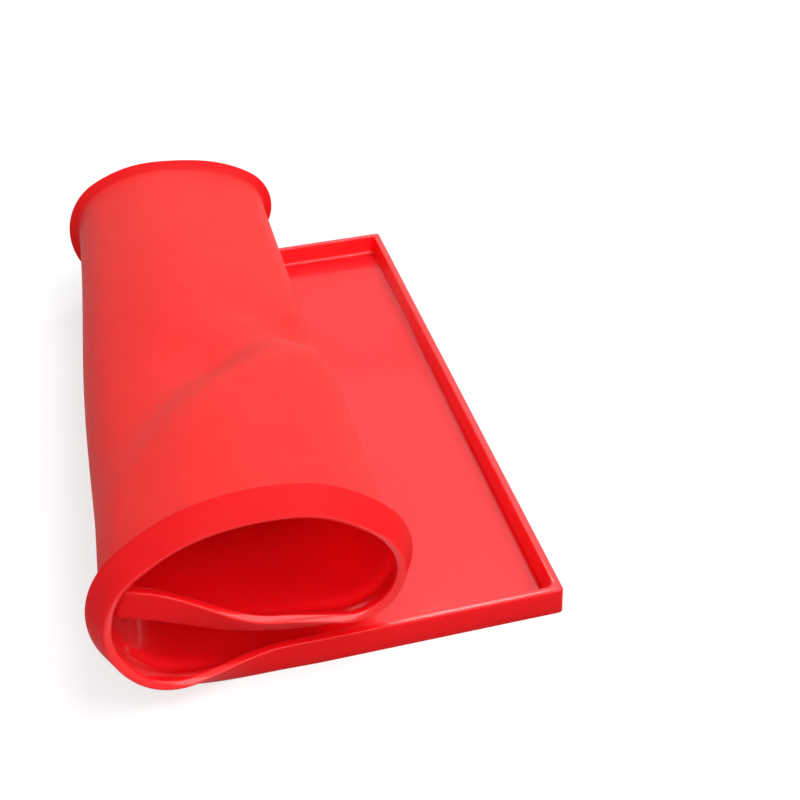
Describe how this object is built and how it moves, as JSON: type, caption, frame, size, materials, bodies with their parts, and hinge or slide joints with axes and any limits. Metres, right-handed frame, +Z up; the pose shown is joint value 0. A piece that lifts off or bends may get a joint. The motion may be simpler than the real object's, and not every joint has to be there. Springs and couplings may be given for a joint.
{
  "type": "silicone baking mat",
  "caption": "Soft silicone baking mat with a raised rim on all sides, part lying flat and part rolled over with its end tucked in.",
  "frame": {"origin": "on the surface that the mat lies on, under the middle of its box as it lies", "axes": "+X from the roll towards the flat end, +Y along the roll's axis from the front rim to the back rim, +Z up"},
  "size_m": [0.1484, 0.2818, 0.0727],
  "materials": {
    "silicone": "red silicone rubber, smooth and glossy on the food side, satin underneath"
  },
  "bodies": {
    "root": {"base_sheet": "silicone", "front_rim": "silicone", "back_rim": "silicone", "flat_end_rim": "silicone", "tucked_end_rim": "silicone"}
  },
  "joints": []
}
